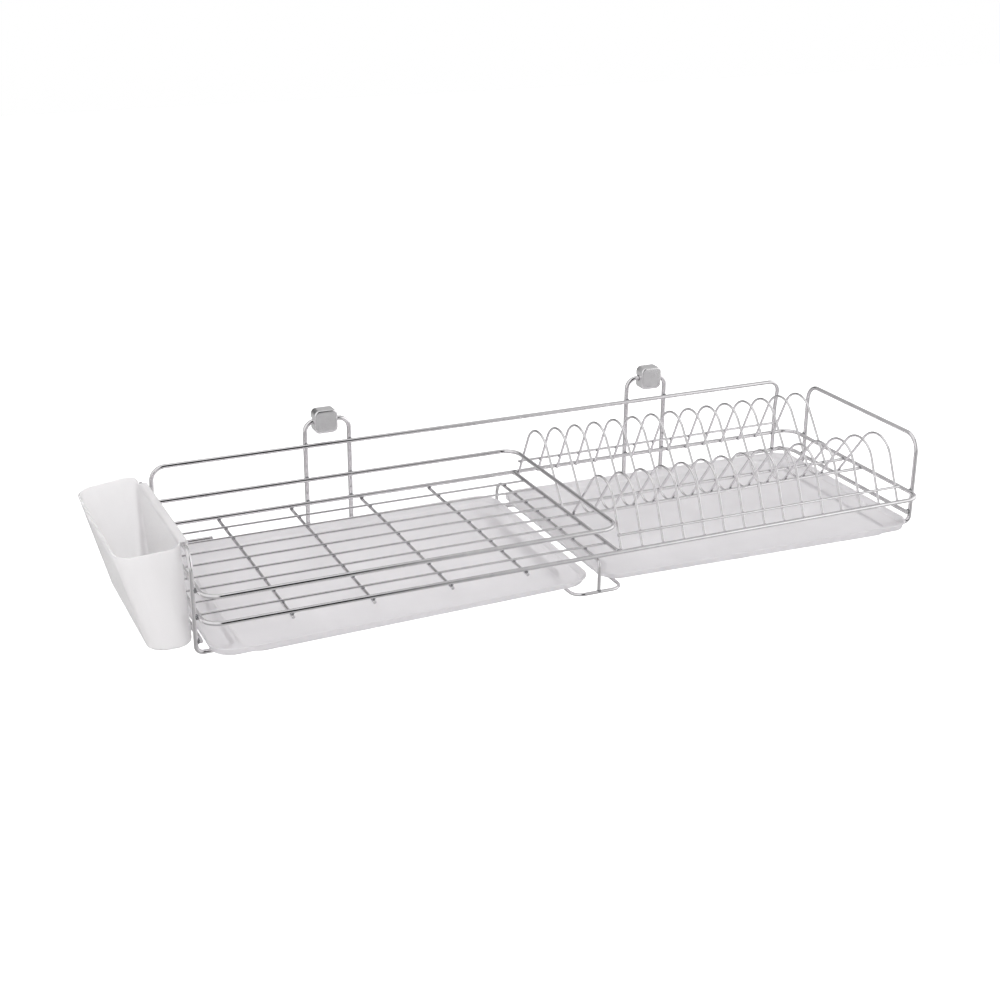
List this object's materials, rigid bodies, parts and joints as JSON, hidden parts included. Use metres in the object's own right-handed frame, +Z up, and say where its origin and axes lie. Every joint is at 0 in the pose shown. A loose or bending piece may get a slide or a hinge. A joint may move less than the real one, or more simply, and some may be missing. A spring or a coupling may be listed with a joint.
{
  "type": "wall-mounted dish rack",
  "caption": "Chrome wire dish rack hung on two wall brackets, with a grid section, M-shaped plate dividers, two pull-out drip trays and a hook-on cutlery holder.",
  "frame": {"origin": "on the wall plane, midway between the two hanging points and level with the hangers' top wires", "axes": "+X to the right along the rack seen from the room, +Y into the wall, +Z up"},
  "size_m": [0.9751, 0.3173, 0.1593],
  "materials": {
    "chrome_wire": "bright chrome plate",
    "cap_metal": "satin chrome plate",
    "zinc_steel": "zinc plated",
    "tray_plastic": "frosted, translucent",
    "holder_plastic": "frosted, translucent",
    "plug_plastic": "moulded"
  },
  "bodies": {
    "hung_frame": {"top_rail": "chrome_wire", "guard_loop": "chrome_wire", "base_loop": "chrome_wire", "divider_rail": "chrome_wire", "end_hoop_left": "chrome_wire", "end_hoop_right": "chrome_wire", "tray_guard_left": "chrome_wire", "tray_guard_right": "chrome_wire", "hanger_left": "chrome_wire", "hanger_right": "chrome_wire", "grid_wire_1": "chrome_wire", "grid_wire_2": "chrome_wire", "grid_wire_3": "chrome_wire", "grid_wire_4": "chrome_wire", "grid_wire_5": "chrome_wire", "grid_wire_6": "chrome_wire", "grid_wire_7": "chrome_wire", "grid_wire_8": "chrome_wire", "cross_wire_1": "chrome_wire", "cross_wire_2": "chrome_wire", "cross_wire_3": "chrome_wire", "cross_wire_4": "chrome_wire", "middle_support": "chrome_wire", "tray_cradle": "chrome_wire", "plate_rail_back": "chrome_wire", "plate_rail_front": "chrome_wire", "plate_divider_01": "chrome_wire", "plate_divider_02": "chrome_wire", "plate_divider_03": "chrome_wire", "plate_divider_04": "chrome_wire", "plate_divider_05": "chrome_wire", "plate_divider_06": "chrome_wire", "plate_divider_07": "chrome_wire", "plate_divider_08": "chrome_wire", "plate_divider_09": "chrome_wire", "plate_divider_10": "chrome_wire", "plate_divider_11": "chrome_wire", "plate_divider_12": "chrome_wire", "plate_divider_13": "chrome_wire", "plate_divider_14": "chrome_wire", "plate_divider_15": "chrome_wire", "tie_wire_back": "chrome_wire", "tie_wire_front": "chrome_wire", "wall_bracket_left": "zinc_steel", "wall_bracket_right": "zinc_steel", "wall_screw_left": "zinc_steel", "wall_screw_right": "zinc_steel", "wall_plug_left": "plug_plastic", "wall_plug_right": "plug_plastic"},
    "left_tray": {"drip_tray_left": "tray_plastic"},
    "right_tray": {"drip_tray_right": "tray_plastic"},
    "cutlery_holder_body": {"cutlery_holder": "holder_plastic"},
    "left_cap": {"cover_cap_left": "cap_metal"},
    "right_cap": {"cover_cap_right": "cap_metal"}
  },
  "joints": [
    {"name": "left_tray_slide", "type": "slide", "parent": "hung_frame", "child": "left_tray", "axis": [0, -1, 0], "range_m": [0, 0.3]},
    {"name": "right_tray_slide", "type": "slide", "parent": "hung_frame", "child": "right_tray", "axis": [0, -1, 0], "range_m": [0, 0.3]},
    {"name": "cutlery_holder_lift", "type": "slide", "parent": "hung_frame", "child": "cutlery_holder_body", "axis": [-0.054, 0, 0.9985], "range_m": [0, 0.13]},
    {"name": "left_cap_pull", "type": "slide", "parent": "hung_frame", "child": "left_cap", "axis": [0, -1, 0], "range_m": [0, 0.025]},
    {"name": "right_cap_pull", "type": "slide", "parent": "hung_frame", "child": "right_cap", "axis": [0, -1, 0], "range_m": [0, 0.025]}
  ]
}
